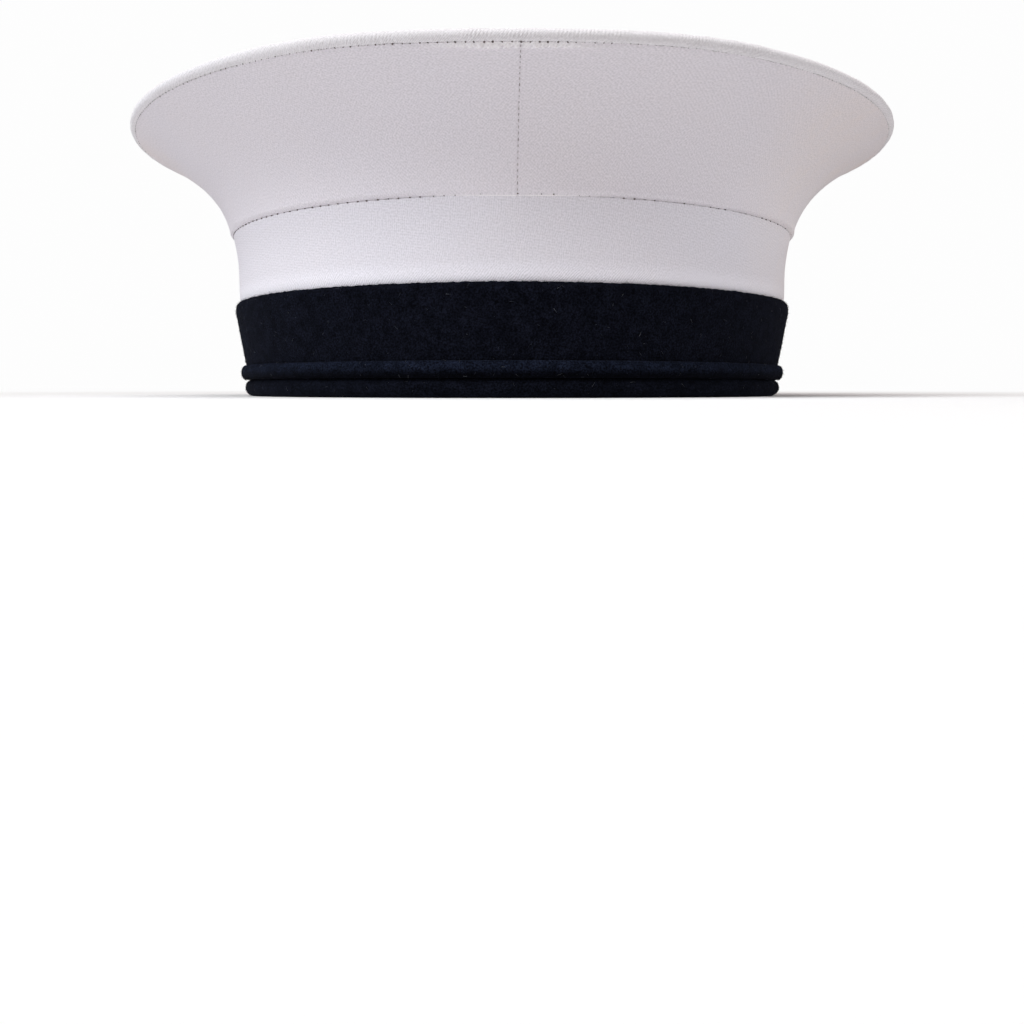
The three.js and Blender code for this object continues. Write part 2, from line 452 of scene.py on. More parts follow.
def turned_disc(name, section, turns, relief, material):
    """A section from the axis to the axis carried round the cap, with one point at each pole."""
    inner = section[1:-1]
    rows, columns = len(inner), len(turns)
    normals = outward(section)[1:-1]
    half_width = inner[:, :1] + relief * normals[:, :1]
    height = inner[:, 1:] + relief * normals[:, 1:]
    places = on_oval(half_width, turns[None, :], height).reshape(-1, 3)
    poles = np.array([[0, 0, section[0, 1]], [0, 0, section[-1, 1]]])
    vertices = np.vstack([places, poles])
    row, column = (grid.ravel() for grid in np.mgrid[0 : rows - 1, 0:columns])
    column_on = (column + 1) % columns
    corners = [(row, column), (row, column_on), (row + 1, column_on), (row + 1, column)]
    faces = np.stack([r * columns + c for r, c in corners], axis=1).tolist()
    first, last = rows * columns, rows * columns + 1
    upper = (rows - 1) * columns
    for start in range(columns):
        following = (start + 1) % columns
        faces.append([first, following, start])
        faces.append([upper + start, upper + following, last])
    piece = link_mesh(name, vertices, faces, material)
    loops = np.empty(len(piece.data.loops), np.int32)
    piece.data.loops.foreach_get("vertex_index", loops)
    set_weave(piece.data, vertices[loops, :2])
    return piece


def own(piece, node):
    """Makes a piece ride on the cap and stand for a node where it has one."""
    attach(piece, "root")
    if node:
        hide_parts(node)
    return piece


def fill(tree, node, values):
    for key, value in values.items():
        if isinstance(value, bpy.types.NodeSocket):
            tree.links.new(value, node.inputs[key])
        else:
            node.inputs[key].default_value = value
    return node


def add(tree, kind, values, **options):
    node = tree.nodes.new(kind)
    for option, value in options.items():
        setattr(node, option, value)
    return fill(tree, node, values)


def calc(tree, operation, *values):
    return add(tree, "ShaderNodeMath", dict(enumerate(values)), operation=operation).outputs[0]


def vector_calc(tree, operation, *values):
    return add(tree, "ShaderNodeVectorMath", dict(enumerate(values)), operation=operation).outputs[0]


def scaled_noise(tree, coordinates, cell, detail=2.0):
    values = {"Vector": coordinates, "Scale": 1 / cell, "Detail": detail}
    return add(tree, "ShaderNodeTexNoise", values).outputs["Fac"]


def ranged(tree, value, low, high, to_low=0.0, to_high=1.0):
    values = {"Value": value, "From Min": low, "From Max": high, "To Min": to_low, "To Max": to_high}
    return add(tree, "ShaderNodeMapRange", values, interpolation_type="SMOOTHSTEP").outputs["Result"]


def mixed_colour(tree, factor, first, second, blend="MIX"):
    node = add(tree, "ShaderNodeMix", {}, data_type="RGBA", blend_type=blend)
    for socket, value in zip((node.inputs[0], node.inputs[6], node.inputs[7]), (factor, first, second)):
        if isinstance(value, bpy.types.NodeSocket):
            tree.links.new(value, socket)
        else:
            socket.default_value = value
    return node.outputs[2]


def new_group(name, kind, inputs, outputs):
    """A node group with named sockets. Returns it with its inputs and its outputs by name."""
    tree = bpy.data.node_groups.new(name, kind)
    for label, (socket_type, default) in inputs.items():
        socket = tree.interface.new_socket(label, in_out="INPUT", socket_type=socket_type)
        if default is not None:
            socket.default_value = default
    for label, socket_type in outputs.items():
        tree.interface.new_socket(label, in_out="OUTPUT", socket_type=socket_type)
    return tree, tree.nodes.new("NodeGroupInput").outputs, tree.nodes.new("NodeGroupOutput")


def twill_group():
    """Ribs of a twill that run slanted over the cloth, with uneven yarns."""
    inputs = {
        "UV": ("NodeSocketVector", None),
        "Pitch": ("NodeSocketFloat", 0.6 * MM),
        "Slant": ("NodeSocketFloat", math.radians(45)),
        "Waver": ("NodeSocketFloat", 2.6),
        "Rib": ("NodeSocketFloat", 0.22),
        "Slub": ("NodeSocketFloat", 1.05),
    }
    drift_cell, slub_cell, patch_cell = 4 * MM, 0.55 * MM, 5 * MM
    yarns_for_each_rib, yarn_strength = 0.8, 0.045
    outputs = {"Height": "NodeSocketFloat"}
    tree, given, leave = new_group("drill_twill", "ShaderNodeTree", inputs, outputs)
    turned = add(tree, "ShaderNodeVectorRotate", {"Vector": given["UV"], "Angle": given["Slant"]})
    turned.rotation_type = "Z_AXIS"
    parts = add(tree, "ShaderNodeSeparateXYZ", {0: turned.outputs[0]}).outputs
    drift = calc(tree, "MULTIPLY", scaled_noise(tree, given["UV"], drift_cell), given["Waver"])
    cycles = calc(tree, "ADD", calc(tree, "DIVIDE", parts["X"], given["Pitch"]), drift)
    rib = calc(tree, "SINE", calc(tree, "MULTIPLY", cycles, TURN))
    yarn_cycles = calc(tree, "DIVIDE", parts["Y"], given["Pitch"])
    yarn = calc(tree, "SINE", calc(tree, "MULTIPLY", yarn_cycles, TURN * yarns_for_each_rib))
    slub = calc(tree, "SUBTRACT", scaled_noise(tree, given["UV"], slub_cell, 3.0), 0.5)
    patchy = ranged(tree, scaled_noise(tree, given["UV"], patch_cell, 2.0), 0.3, 0.7, 0.35, 1.0)
    ribbed = calc(tree, "MULTIPLY", calc(tree, "MULTIPLY", rib, given["Rib"]), patchy)
    crossed = calc(tree, "MULTIPLY_ADD", yarn, yarn_strength, calc(tree, "ADD", ribbed, 0.5))
    height = calc(tree, "MULTIPLY_ADD", slub, given["Slub"], crossed)
    fill(tree, leave, {"Height": height})
    return tree


def soil_group():
    """Warm tint that handling leaves, stronger towards the cap's sides."""
    inputs = {
        "Place": ("NodeSocketVector", None),
        "Clean": ("NodeSocketColor", (0.8, 0.8, 0.8, 1)),
        "Soiled": ("NodeSocketColor", (0.7, 0.65, 0.6, 1)),
        "Amount": ("NodeSocketFloat", 1.0),
        "Patch": ("NodeSocketFloat", 45 * MM),
    }
    right_start, right_end, left_start, left_end = 60 * MM, 115 * MM, -100 * MM, -125 * MM
    middle_tint, left_tint, speck_cell = 0.15, 0.6, 3.5 * MM
    outputs = {"Colour": "NodeSocketColor", "Mask": "NodeSocketFloat"}
    tree, given, leave = new_group("handling_soil", "ShaderNodeTree", inputs, outputs)
    across = add(tree, "ShaderNodeSeparateXYZ", {0: given["Place"]}).outputs["X"]
    right = ranged(tree, across, right_start, right_end, middle_tint, 1.0)
    left = ranged(tree, across, left_start, left_end, 0.0, left_tint)
    sides = calc(tree, "MAXIMUM", right, left)
    spread = vector_calc(tree, "DIVIDE", given["Place"], given["Patch"])
    patches = ranged(tree, scaled_noise(tree, spread, 1.0, 2.0), 0.32, 0.66, 0.5, 1.0)
    specks = ranged(tree, scaled_noise(tree, given["Place"], speck_cell, 3.0), 0.35, 0.75, 0.75, 1.0)
    grimy = calc(tree, "MULTIPLY", patches, sides)
    mask = calc(tree, "MULTIPLY", grimy, calc(tree, "MULTIPLY", specks, given["Amount"]))
    tinted = mixed_colour(tree, mask, given["Clean"], given["Soiled"])
    fill(tree, leave, {"Colour": tinted, "Mask": mask})
    return tree


def wool_group():
    """Matted fibres of felted wool."""
    inputs = {"Place": ("NodeSocketVector", None), "Fibre": ("NodeSocketFloat", 0.5 * MM)}
    outputs = {"Height": "NodeSocketFloat", "Shade": "NodeSocketFloat"}
    tree, given, leave = new_group("felted_wool", "ShaderNodeTree", inputs, outputs)
    spread = vector_calc(tree, "DIVIDE", given["Place"], given["Fibre"])
    mat = scaled_noise(tree, spread, 1.0, 4.0)
    clumps = scaled_noise(tree, spread, 7.0, 2.0)
    mat_share, clump_share = 0.7, 0.5
    height = calc(tree, "MULTIPLY_ADD", mat, mat_share, calc(tree, "MULTIPLY", clumps, clump_share))
    fibre_shade = ranged(tree, mat, 0.3, 0.72, 0.3, 2.0)
    shade = calc(tree, "MULTIPLY", fibre_shade, ranged(tree, clumps, 0.3, 0.7, 0.75, 1.3))
    fill(tree, leave, {"Height": height, "Shade": shade})
    return tree


def shader_groups():
    makers = {"drill_twill": twill_group, "handling_soil": soil_group, "felted_wool": wool_group}
    return {name: bpy.data.node_groups.get(name) or make() for name, make in makers.items()}


def new_material(name, roughness, specular, sheen=0.0, sheen_tint=WHITE):
    """A material with a Principled shader. Returns the material, its tree and the shader."""
    material = bpy.data.materials.new(name)
    material.use_nodes = True
    shader = material.node_tree.nodes["Principled BSDF"]
    shader.inputs["Roughness"].default_value = roughness
    shader.inputs["Specular IOR Level"].default_value = specular
    shader.inputs["Sheen Weight"].default_value = sheen
    shader.inputs["Sheen Roughness"].default_value = 0.5
    shader.inputs["Sheen Tint"].default_value = sheen_tint
    return material, material.node_tree, shader


def use_group(tree, name, values):
    node = tree.nodes.new("ShaderNodeGroup")
    node.node_tree = shader_groups()[name]
    return fill(tree, node, values)


def bumped(tree, shader, height, depth):
    bump = add(tree, "ShaderNodeBump", {"Height": height, "Distance": depth, "Strength": 1.0})
    tree.links.new(bump.outputs["Normal"], shader.inputs["Normal"])


def lip_highlight_mask(tree, place, weave, lip):
    """Mask of the painted highlight on the cloth that puffs out under the rim by the back seam, with a
    streaky lower edge.
    """
    slope, streak_width, streak_reach = -0.8, 0.8 * MM, 2.6 * MM
    side_end, side_start = 26 * MM, 6 * MM
    round_it, up = weave
    slanted = calc(tree, "MULTIPLY_ADD", up, slope, round_it)
    streak_place = add(tree, "ShaderNodeCombineXYZ", {0: slanted}).outputs[0]
    streaks = calc(tree, "SUBTRACT", scaled_noise(tree, streak_place, streak_width, 1.0), 0.5)
    puckered = calc(tree, "MULTIPLY_ADD", streaks, streak_reach, up)
    beside = calc(tree, "ABSOLUTE", add(tree, "ShaderNodeSeparateXYZ", {0: place}).outputs["X"])
    return calc(tree, "MULTIPLY", ranged(tree, beside, side_end, side_start), ranged(tree, puckered, *lip))


def drill_material(name, clean, ribs, depth, soil, edge_ribs=None, edge=None, lip=None):
    """White drill, a little soiled.

    The edge is two places along the section, between which other ribs and a painted highlight of lighter,
    bluer drill take over downwards.
    The lip is two places along the section, between which the painted highlight of the puffed cloth begins.
    """
    material, tree, shader = new_material(name, roughness=0.82, specular=0.25, sheen=0.12)
    finish = bpy.context.scene.cap_finish
    weave = add(tree, "ShaderNodeUVMap", {}, uv_map=WEAVE_UV).outputs["UV"]
    place = add(tree, "ShaderNodeTexCoord", {}).outputs["Object"]

    def twill(pitch, slant, strength):
        values = {"UV": weave, "Pitch": pitch, "Slant": math.radians(slant), "Rib": strength}
        return use_group(tree, "drill_twill", values).outputs["Height"]

    height = twill(*ribs)
    round_it, up = add(tree, "ShaderNodeSeparateXYZ", {0: weave}).outputs[:2]
    # Painted highlight on the puffed cloth under the rim by the back seam.
    if lip:
        clean = mixed_colour(tree, lip_highlight_mask(tree, place, (round_it, up), lip), clean, finish.lip)
    # Painted highlight: lighter, bluer drill below the edge, just above the band.
    if edge:
        below = ranged(tree, up, edge[1], edge[0])
        clean = mixed_colour(tree, below, clean, finish.fold)
        height = add(tree, "ShaderNodeMix", {0: below, 2: height, 3: twill(*edge_ribs)}).outputs[0]
    soil_values = {"Place": place, "Clean": clean, "Soiled": finish.soil, "Amount": soil}
    soiled = use_group(tree, "handling_soil", soil_values).outputs
    shade = ranged(tree, height, 0.15, 0.85, 0.85, 1.11)
    shaded = mixed_colour(tree, 1.0, soiled["Colour"], shade, "MULTIPLY")
    tree.links.new(shaded, shader.inputs["Base Color"])
    tree.links.new(ranged(tree, height, 0.2, 0.8, 0.9, 0.76), shader.inputs["Roughness"])
    bumped(tree, shader, height, depth)
    return material


def wool_material(name, shade, lighter=None):
    """Felted navy wool. With a painted highlight given, it changes to the highlight's shade between a lower
    and a higher height.
    """
    blue_sheen = (0.5, 0.6, 1.0, 1)
    material, tree, shader = new_material(
        name, roughness=1.0, specular=0.03, sheen=0.015, sheen_tint=blue_sheen
    )
    place = add(tree, "ShaderNodeTexCoord", {}).outputs["Object"]
    if lighter:
        low, high, highlight = lighter
        height = add(tree, "ShaderNodeSeparateXYZ", {0: place}).outputs["Z"]
        shade = mixed_colour(tree, ranged(tree, height, low, high), shade, highlight)
    felt = use_group(tree, "felted_wool", {"Place": place, "Fibre": FELT_FIBRE}).outputs
    felted = mixed_colour(tree, 1.0, shade, felt["Shade"], "MULTIPLY")
    tree.links.new(felted, shader.inputs["Base Color"])
    bumped(tree, shader, felt["Height"], FELT_DEPTH)
    return material


def fibre_material():
    """Loose fibres, most of them dark and a few pale."""
    dark_share = 0.95
    material, tree, shader = new_material("navy_fibre", roughness=0.9, specular=0.05)
    finish = bpy.context.scene.cap_finish
    drawn = add(tree, "ShaderNodeAttribute", {}, attribute_name=FIBRE_SHADE).outputs["Fac"]
    common = mixed_colour(tree, ranged(tree, drawn, 0.0, dark_share), finish.wool, finish.fibre)
    pale = mixed_colour(tree, ranged(tree, drawn, dark_share, 1.0), common, finish.lint)
    tree.links.new(pale, shader.inputs["Base Color"])
    return material


def thread_material(name, shade, roughness):
    """Twisted sewing thread, or the shade in a needle hole."""
    mottle_cell = 1.2 * MM
    material, tree, shader = new_material(name, roughness, specular=0.2)
    place = add(tree, "ShaderNodeTexCoord", {}).outputs["Object"]
    mottle = ranged(tree, scaled_noise(tree, place, mottle_cell), 0.3, 0.7, 0.7, 1.15)
    mottled = mixed_colour(tree, 1.0, shade, mottle, "MULTIPLY")
    tree.links.new(mottled, shader.inputs["Base Color"])
    return material


def side_line(crown):
    """Outer line of the flared side, from its seam up into the crease under the rim."""
    foot = np.array([crown.flare_foot, SIDE_BOX[0].z])
    end = np.array([SIDE_BOX[1].x, SIDE_BOX[1].z - crown.drill * math.sin(crown.end_lean)])
    run_on = np.array([math.sin(crown.end_lean), math.cos(crown.end_lean)])
    run_down = np.array([math.sin(crown.foot_lean), math.cos(crown.foot_lean)])
    curve = leaning_curve(foot, end, crown.foot_lean, crown.end_lean, 400)
    return np.vstack([foot - crown.lap * run_down, curve, end + crown.lip * run_on])


def walled(outer, thickness, foot_reach, top_reach, inner_rows, roll_rows):
    """Closed section of a wall with rolled edges, its outer line first.

    Each outer point has its own thickness.
    """
    normals = outward(outer)
    inner_line = (outer - normals * thickness[:, None])[::-1]
    inner = points_along(inner_line, np.linspace(0, lengths_along(inner_line)[-1], inner_rows))
    top = edge_roll(outer[-1], normals[-1], thickness[-1], top_reach, roll_rows)
    foot = edge_roll(outer[0], normals[0], thickness[0], -foot_reach, roll_rows)[::-1]
    return np.vstack([outer, top, inner, foot])


def on_outer(relief, rows, roll_rows):
    """Relief of the outer rows, carried on over the rolled edges and fading out there."""
    columns = relief.shape[1]
    full = np.zeros((rows, columns))
    full[: len(relief)] = relief
    fade = np.linspace(1, 0, roll_rows + 2)[1:-1, None]
    full[len(relief) : len(relief) + roll_rows] = relief[-1] * fade
    full[rows - roll_rows :] = relief[0] * fade[::-1]
    return full


def back_ridge(round_it, crown):
    """A soft ridge along the back, on both sides of the seam above the stand."""
    return crown.ridge * hump(round_it, 0, crown.ridge_width)


def side_relief(scene, turns, along, half_width):
    """Slack, puffed edges, puckers and the back seam of the flared side."""
    crown, stitch, folds = scene.cap_crown, scene.cap_stitch, scene.cap_relief
    rough = partial(uneven, turns, along)
    reach = along[-1]
    round_it = half_width[:, None] * from_seam(turns)[None, :]
    up = along[:, None]
    belly = np.sin(math.pi * up / reach)
    slack = folds.side_slack * belly * rough(cells_round=9, cell_along=22 * MM, seed=21)
    slack = slack + folds.side_ripple * belly * rough(cells_round=44, cell_along=9 * MM, seed=22)

    gather_slope = 0.8
    near_back = hump(round_it, 0, folds.puff_width)
    gathered = hump(round_it, 0, folds.gather_width)
    pucker = np.sin(TURN * (round_it + gather_slope * (reach - up)) / folds.gather_pitch)
    ragged = 0.95 + 0.5 * rough(cells_round=160, cell_along=30 * MM, seed=23)
    lip = hump(up, reach - 1.05 * MM, 0.75 * MM)
    puff = lip * (folds.puff_round + folds.puff * near_back) * ragged
    gathers = lip * folds.gather * gathered * ragged * pucker
    rim_count = repeats_round(SIDE_BOX[1].x, stitch.rim_pitch)
    pulls = folds.rim_pull * hump(up, reach, 1.3 * MM) * np.cos(rim_count * turns)[None, :]
    notch = folds.notch * hump(round_it, 0, 0.4 * MM) * hump(up, reach - 0.6 * MM, 1.1 * MM)
    under_rim = puff + gathers - pulls - notch

    seam_count = repeats_round(half_width[0], stitch.seam_pitch)
    fold = folds.foot_fold * hump(up, 1.0 * MM, 0.9 * MM)
    fold = fold * (1 - 0.4 * np.cos(seam_count * turns)[None, :])
    fold = fold * (0.7 + 0.8 * smooth_step(10 * MM, 40 * MM, round_it))
    tuck = folds.tuck * hump(up, 0, 0.8 * MM)
    ridge = back_ridge(round_it, crown) * (1 - smooth_step(6 * MM, 34 * MM, up))
    at_foot = fold - tuck + ridge

    groove = folds.seam_groove * hump(round_it, 0, 0.26 * MM)
    ridges = folds.seam_ridge * hump(np.abs(round_it), 0.85 * MM, 0.55 * MM)
    ridges = ridges * (1 + 0.5 * np.cos(TURN * up / stitch.back_pitch))
    step = folds.seam_step * smooth_step(-0.2 * MM, 0.2 * MM, round_it) * hump(round_it, 0, 14 * MM)
    return slack + under_rim + at_foot - groove + ridges - step


def side_rows(crown):
    """Rows of the flared side: how far along its outer line they lie, and their points."""
    line = side_line(crown)
    places = graded(0, lengths_along(line)[-1], edge=2.6 * MM, fine=0.2 * MM, coarse=1.3 * MM)
    return places, points_along(line, places)


def make_side(context):
    """The flared side, which thins out where it runs on into the crease under the rim."""
    scene = context.scene
    crown, roll_rows = scene.cap_crown, 5
    places, outer = side_rows(crown)
    end = places[-1]
    thinned = 0.9 * smooth_step(end - crown.lip - 0.8 * MM, end, places)
    section = walled(
        outer, crown.drill * (1 - thinned), foot_reach=0.34 * MM, top_reach=0.05 * MM,
        inner_rows=12, roll_rows=roll_rows,
    )
    turns = turns_round((math.radians(1.2), 28), (math.radians(10), 124), (math.pi, 450))
    relief = on_outer(side_relief(scene, turns, places, outer[:, 0]), len(section), roll_rows)
    # The lip places bound the painted highlight under the rim by the back seam.
    material = drill_material(
        "white_drill_side", scene.cap_finish.drill, SIDE_RIBS, depth=0.05 * MM, soil=1.2,
        lip=(end - 1.6 * MM, end - 0.9 * MM),
    )
    return own(turned_ring("flared_side", section, turns, relief, material), "crown_side")


def make_welt(context):
    """The rolled rim, with the ribs of its bias cloth and the pull of the stitches below it."""
    scene = context.scene
    crown, stitch, folds = scene.cap_crown, scene.cap_stitch, scene.cap_relief
    around, rib_twist = 16, 4.0
    centre = np.array([WELT_BOX[1].x - crown.welt_radial, WELT_BOX[1].z - crown.welt_upright])
    radial, upright = crown.welt_radial + folds.welt_swell, crown.welt_upright + folds.welt_swell
    section = arc(centre, radial, upright, -180, 180, around + 1)[:-1]
    turns = turns_round((math.pi, 2100))
    rough = partial(uneven, turns, np.linspace(0, 4 * MM, around))
    roll_turn = np.radians(np.linspace(-180, 180, around, endpoint=False))
    strong = 0.8 + 0.4 * rough(cells_round=150, cell_along=8 * MM, seed=31)
    strong = strong * (1 - 0.75 * smooth_step(0.6, 1.4, roll_turn))[:, None]
    rib_count = repeats_round(WELT_BOX[1].x, folds.welt_rib_pitch)
    ribs = np.sin(rib_count * turns[None, :] - rib_twist * roll_turn[:, None])
    ribs = folds.welt_rib * strong * ribs
    under = hump(roll_turn, math.radians(-112), 0.55)[:, None]
    stitch_count = repeats_round(SIDE_BOX[1].x, stitch.rim_pitch)
    pulls = folds.welt_pull * under * (0.5 + 0.5 * np.cos(stitch_count * turns)[None, :]) ** 2
    lumps = folds.welt_lump * rough(cells_round=210, cell_along=3 * MM, seed=32)
    lumps = lumps + folds.welt_wave * rough(cells_round=24, cell_along=8 * MM, seed=33)
    material = drill_material(
        "white_drill_welt", scene.cap_finish.welt, WELT_RIBS, depth=0.07 * MM, soil=0.4
    )
    piece = turned_ring("rolled_rim", section, turns, ribs - pulls + lumps, material)
    return own(piece, "rim_welt")


def make_top(context):
    """The flat top: it sags a little and puckers where the rim holds it."""
    scene = context.scene
    crown, folds = scene.cap_crown, scene.cap_relief
    edge = WELT_BOX[1].x - 2 * crown.welt_radial - 0.7 * crown.gap
    fine_edge = edge - 6 * MM
    edge_rows, face_rows, under_rows, roll_rows = 20, 18, 5, 6

    def dished(half_width, height):
        return np.stack([half_width, height - crown.top_sag * (1 - (half_width / edge) ** 2)], axis=1)

    fine = np.linspace(edge, fine_edge, edge_rows, endpoint=False)
    outer = np.concatenate([fine, np.linspace(fine_edge, 0, face_rows)])
    face = dished(outer, crown.top_edge)
    under = dished(np.linspace(0, edge, under_rows), crown.top_edge - crown.drill)
    middle = np.array([edge, crown.top_edge - crown.drill / 2])
    rim = arc(middle, 0.15 * MM, crown.drill / 2, -90, 90, roll_rows + 2)[1:-1]
    section = np.vstack([under, rim, face])
    turns = turns_round((math.pi, 360))
    along = edge - face[:, 0]
    rough = partial(uneven, turns, along)
    ripple = rough(cells_round=120, cell_along=40 * MM, seed=41)
    ripple = ripple + 0.6 * rough(cells_round=260, cell_along=40 * MM, seed=42)
    pinch = folds.top_pinch * hump(along, 2.2 * MM, 2.4 * MM)[:, None] * ripple
    slack = folds.top_slack * rough(cells_round=11, cell_along=38 * MM, seed=43)
    slack = slack * smooth_step(4 * MM, 30 * MM, along)[:, None]
    slack = slack * smooth_step(0, 40 * MM, face[:, 0])[:, None]
    drop = folds.top_drop * hump(along, 0, 0.8 * MM)[:, None]
    relief = np.zeros((len(section), len(turns)))
    relief[-len(face) :] = pinch + slack - drop
    material = drill_material(
        "white_drill_top", scene.cap_finish.drill, TOP_RIBS, depth=0.05 * MM, soil=0.4
    )
    return own(turned_disc("flat_top", section, turns, relief[1:-1], material), "crown_top")


def band_face(height, band):
    """Half-width of the band's outer face at a height."""
    foot_height = BAND_BOX[0].z
    taper = (BAND_BOX[1].x - band.foot) / (band.shoulder - foot_height)
    return BAND_BOX[1].x - taper * (band.shoulder - height)


def stand_face(height, crown, band):
    """Half-width of the stand's outer face at a height behind the band."""
    return band_face(height, band) - band.wool - crown.gap


def stand_relief(scene, turns, along, half_width):
    """Slack of the stand, the hollow below the seam beside the middle, and the pull of the stitches."""
    crown, stitch, folds = scene.cap_crown, scene.cap_stitch, scene.cap_relief
    rough = partial(uneven, turns, along)
    reach = along[-1]
    round_it = half_width[:, None] * from_seam(turns)[None, :]
    up = along[:, None]
    shown = smooth_step(31 * MM, 40 * MM, up)
    slack = folds.stand_slack * rough(cells_round=10, cell_along=16 * MM, seed=51)
    slack = slack + folds.stand_ripple * rough(cells_round=52, cell_along=7 * MM, seed=52)
    slack = slack * shown * smooth_step(0, 6 * MM, reach - up)
    below_seam = hump(up, reach - 4.5 * MM, 4.5 * MM)
    hollow = folds.stand_hollow * hump(round_it, 9 * MM, 12 * MM) * below_seam
    seam_count = repeats_round(half_width[-1], stitch.seam_pitch)
    pulls = folds.stand_pull * hump(up, reach, 1.6 * MM) * (1 + np.cos(seam_count * turns)[None, :])
    ridge = back_ridge(round_it, crown) * smooth_step(34 * MM, reach - 2 * MM, up)
    return slack - hollow - pulls + ridge


def make_stand(context):
    """The white stand, which runs down behind the band into the hem."""
    scene = context.scene
    crown, band, roll_rows = scene.cap_crown, scene.cap_band, 4
    foot_height = band.hem_floor + crown.gap
    foot = [stand_face(foot_height, crown, band), foot_height]
    shoulder = [stand_face(band.shoulder, crown, band), band.shoulder]
    fold = [crown.stand_neck, crown.stand_fold]
    neck = np.array([crown.stand_neck, crown.neck_height])
    top = np.array([crown.stand_top, crown.top_height])
    line = np.vstack([[foot, shoulder, fold], leaning_curve(neck, top, 0.0, crown.stand_lean, 60)])
    reach = lengths_along(line)[-1]
    hidden = np.linspace(0, 25 * MM, 5, endpoint=False)
    shown = np.linspace(25 * MM, reach - 3 * MM, 24)
    sewn = np.linspace(reach - 2.8 * MM, reach, 13)
    places = np.concatenate([hidden, shown, sewn])
    outer = points_along(line, places)
    section = walled(
        outer, np.full(len(outer), crown.drill), foot_reach=0.0, top_reach=0.12 * MM,
        inner_rows=4, roll_rows=roll_rows,
    )
    turns = turns_round((math.pi, 550))
    relief = on_outer(stand_relief(scene, turns, places, outer[:, 0]), len(section), roll_rows)
    # The stand's bluer drill and its lighter fold colour are painted light.
    material = drill_material(
        "white_drill_stand", scene.cap_finish.stand, STAND_RIBS, depth=0.06 * MM, soil=1.0,
        edge_ribs=FOLD_RIBS, edge=(30 * MM, 36 * MM),
    )
    return own(turned_ring("white_stand", section, turns, relief, material), "stand_band")


def set_nap(piece, columns, weights):
    """Where the nap grows: one weight for each row of a ring."""
    values = piece.data.attributes.new(NAP_WEIGHT, "FLOAT", "POINT")
    values.data.foreach_set("value", np.repeat(np.asarray(weights, np.float32), columns))


def make_band(context):
    """The folded wool band, tapering downwards from its rounded top edge."""
    scene = context.scene
    band, folds = scene.cap_band, scene.cap_relief
    rise_rows, top_rows, back_rows, shown_top_rows, edge_row = 22, 15, 3, 10, 7
    half = band.wool / 2
    low = BAND_BOX[0].z
    fold = np.array([BAND_BOX[1].x - half, band.shoulder])
    heights = np.linspace(low, band.shoulder, rise_rows, endpoint=False)
    rise = np.stack([band_face(heights, band), heights], axis=1)
    top = arc(fold, half, BAND_BOX[1].z - band.shoulder, 0, 180, top_rows)
    back_face = np.linspace(top[-1, 0], band.foot - band.wool, back_rows)
    back = np.stack([back_face, np.linspace(band.shoulder, low, back_rows)], axis=1)
    section = np.vstack([rise, top, back[1:]])
    turns = turns_round((math.pi, 760))
    along = lengths_along(section)
    rough = partial(uneven, turns, along)
    felt = folds.band_felt * rough(cells_round=260, cell_along=2.6 * MM, seed=61)
    felt = felt + folds.band_wave * rough(cells_round=16, cell_along=14 * MM, seed=62)
    shown = np.zeros(len(section))
    shown[: rise_rows + shown_top_rows] = 1
    edge = hump(along, along[rise_rows + edge_row], 1.6 * MM)[:, None]
    ragged = 0.3 * rough(cells_round=300, cell_along=30 * MM, seed=63)
    ragged = ragged + rough(cells_round=740, cell_along=30 * MM, seed=64)
    relief = (felt + folds.band_ragged * edge * ragged) * shown[:, None]
    material = wool_material("navy_wool_band", scene.cap_finish.wool)
    piece = own(turned_ring("wool_band", section, turns, relief, material), "cap_band")
    set_nap(piece, len(turns), shown * (0.75 + 1.6 * edge[:, 0]))
    return piece


def make_piping(context):
    """The half-round welt on the band's foot."""
    scene = context.scene
    band, finish, folds = scene.cap_band, scene.cap_finish, scene.cap_relief
    low, high = PIPING_BOX[0].z - folds.piping_drop, PIPING_BOX[1].z
    middle = (low + high) / 2
    seat = PIPING_BOX[1].x - band.piping_bulge
    round_part = arc([seat, middle], band.piping_bulge, middle - low, -90, 90, 15)
    back = points_along(np.array([[seat, high], [seat, low]]), np.linspace(0, 2 * (middle - low), 5)[1:-1])
    section = np.vstack([round_part, back])
    turns = turns_round((math.pi, 512))
    rough = partial(uneven, turns, lengths_along(section))
    shown = np.zeros(len(section))
    shown[1 : len(round_part) - 1] = 1
    lumps = folds.wool_lump * rough(cells_round=240, cell_along=2.4 * MM, seed=71)
    lumps = lumps + folds.piping_wave * rough(cells_round=46, cell_along=9 * MM, seed=72)
    # Painted shade on the lower half of the piping and a painted highlight on its top.
    lighter = (low + 0.6 * MM, middle + 0.9 * MM, finish.lit_piping_wool)
    material = wool_material("navy_wool_piping", finish.shaded_piping_wool, lighter)
    ring = turned_ring("wool_piping", section, turns, lumps * shown[:, None], material)
    piece = own(ring, "band_piping")
    set_nap(piece, len(turns), shown)
    return piece


